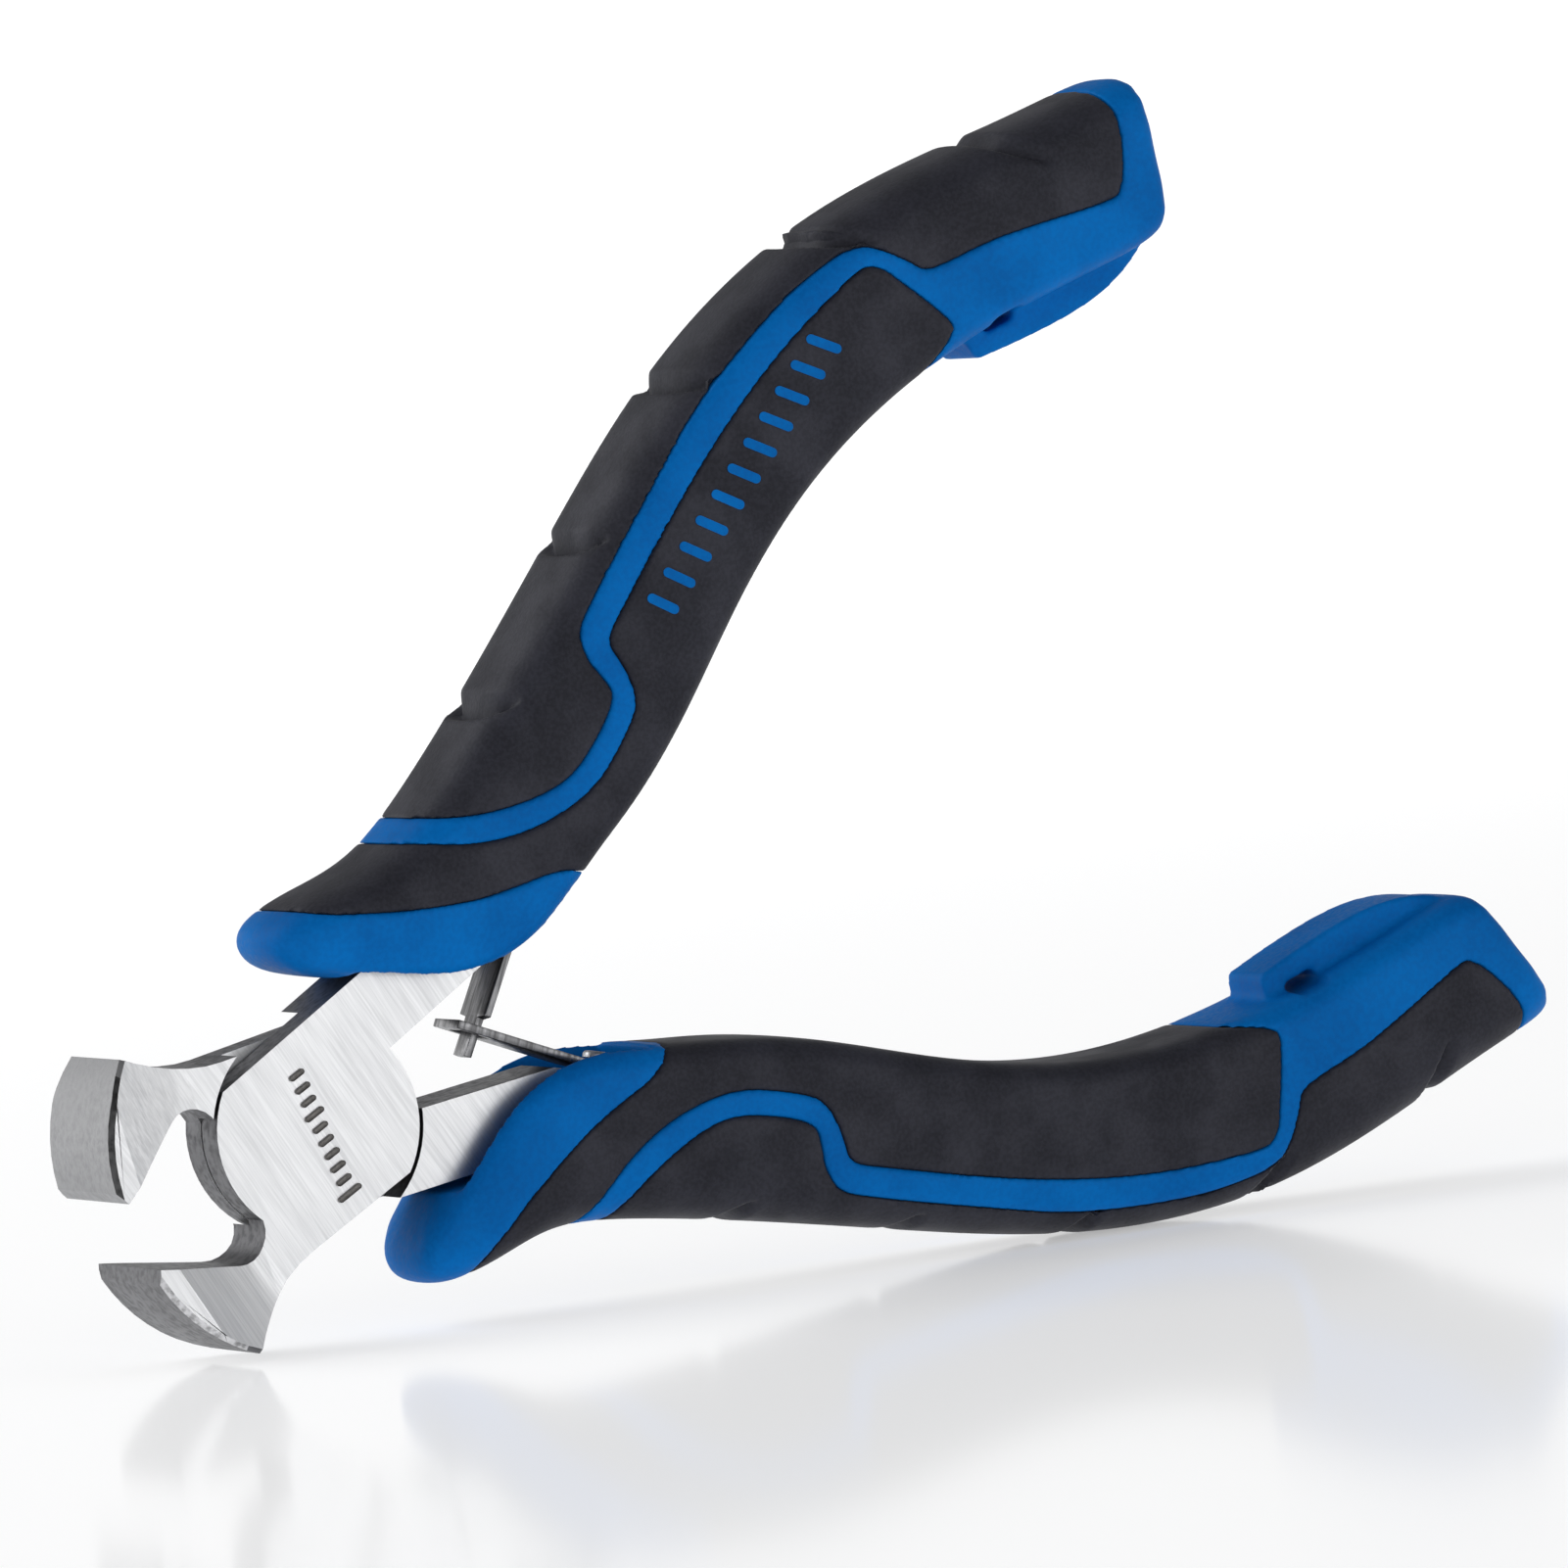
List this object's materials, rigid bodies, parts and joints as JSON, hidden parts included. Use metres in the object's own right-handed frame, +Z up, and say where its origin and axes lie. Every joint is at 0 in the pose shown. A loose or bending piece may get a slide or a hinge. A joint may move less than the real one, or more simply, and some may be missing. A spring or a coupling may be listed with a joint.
{
  "type": "flush cutter",
  "caption": "Small end-cutting flush cutter with a riveted lap joint, crossed leaf springs and curved two-colour grips, for trimming wire and component leads flush.",
  "frame": {"origin": "middle of the box's footprint, on the surface that the tool stands on with its lower jaw and lower handle", "axes": "+X from the jaws towards the handles' tails, +Z up, Y along the pivot, with the front half's marked joint face towards -Y"},
  "size_m": [0.1176, 0.0132, 0.0838],
  "materials": {
    "ground_steel": "ground faces with straight grinding lines",
    "rivet_steel": "satin, ground flush at the joint",
    "spring_steel": "satin rolled strip",
    "blue_core_plastic": "satin moulded polypropylene",
    "black_pad_rubber": "matt fine-grained soft grip"
  },
  "bodies": {
    "lower_handle_half": {"back_cutter_half": "ground_steel", "pivot_rivet": "rivet_steel", "lower_leaf_spring": "spring_steel", "lower_spring_rivet": "rivet_steel", "lower_handle_core": "blue_core_plastic", "lower_outer_grip_pad": "black_pad_rubber", "lower_inner_grip_pad": "black_pad_rubber"},
    "upper_handle_half": {"front_cutter_half": "ground_steel", "upper_leaf_spring": "spring_steel", "upper_spring_rivet": "rivet_steel", "upper_handle_core": "blue_core_plastic", "upper_outer_grip_pad": "black_pad_rubber", "upper_inner_grip_pad": "black_pad_rubber"}
  },
  "joints": [
    {"name": "jaw_pivot", "type": "hinge", "parent": "lower_handle_half", "child": "upper_handle_half", "pos_m": [-0.04122, 0, 0.01553], "axis": [0, 1, 0], "range_deg": [-5, 18], "stiffness_Nm_per_rad": 1, "deforming": ["upper_leaf_spring", "lower_leaf_spring"]}
  ]
}
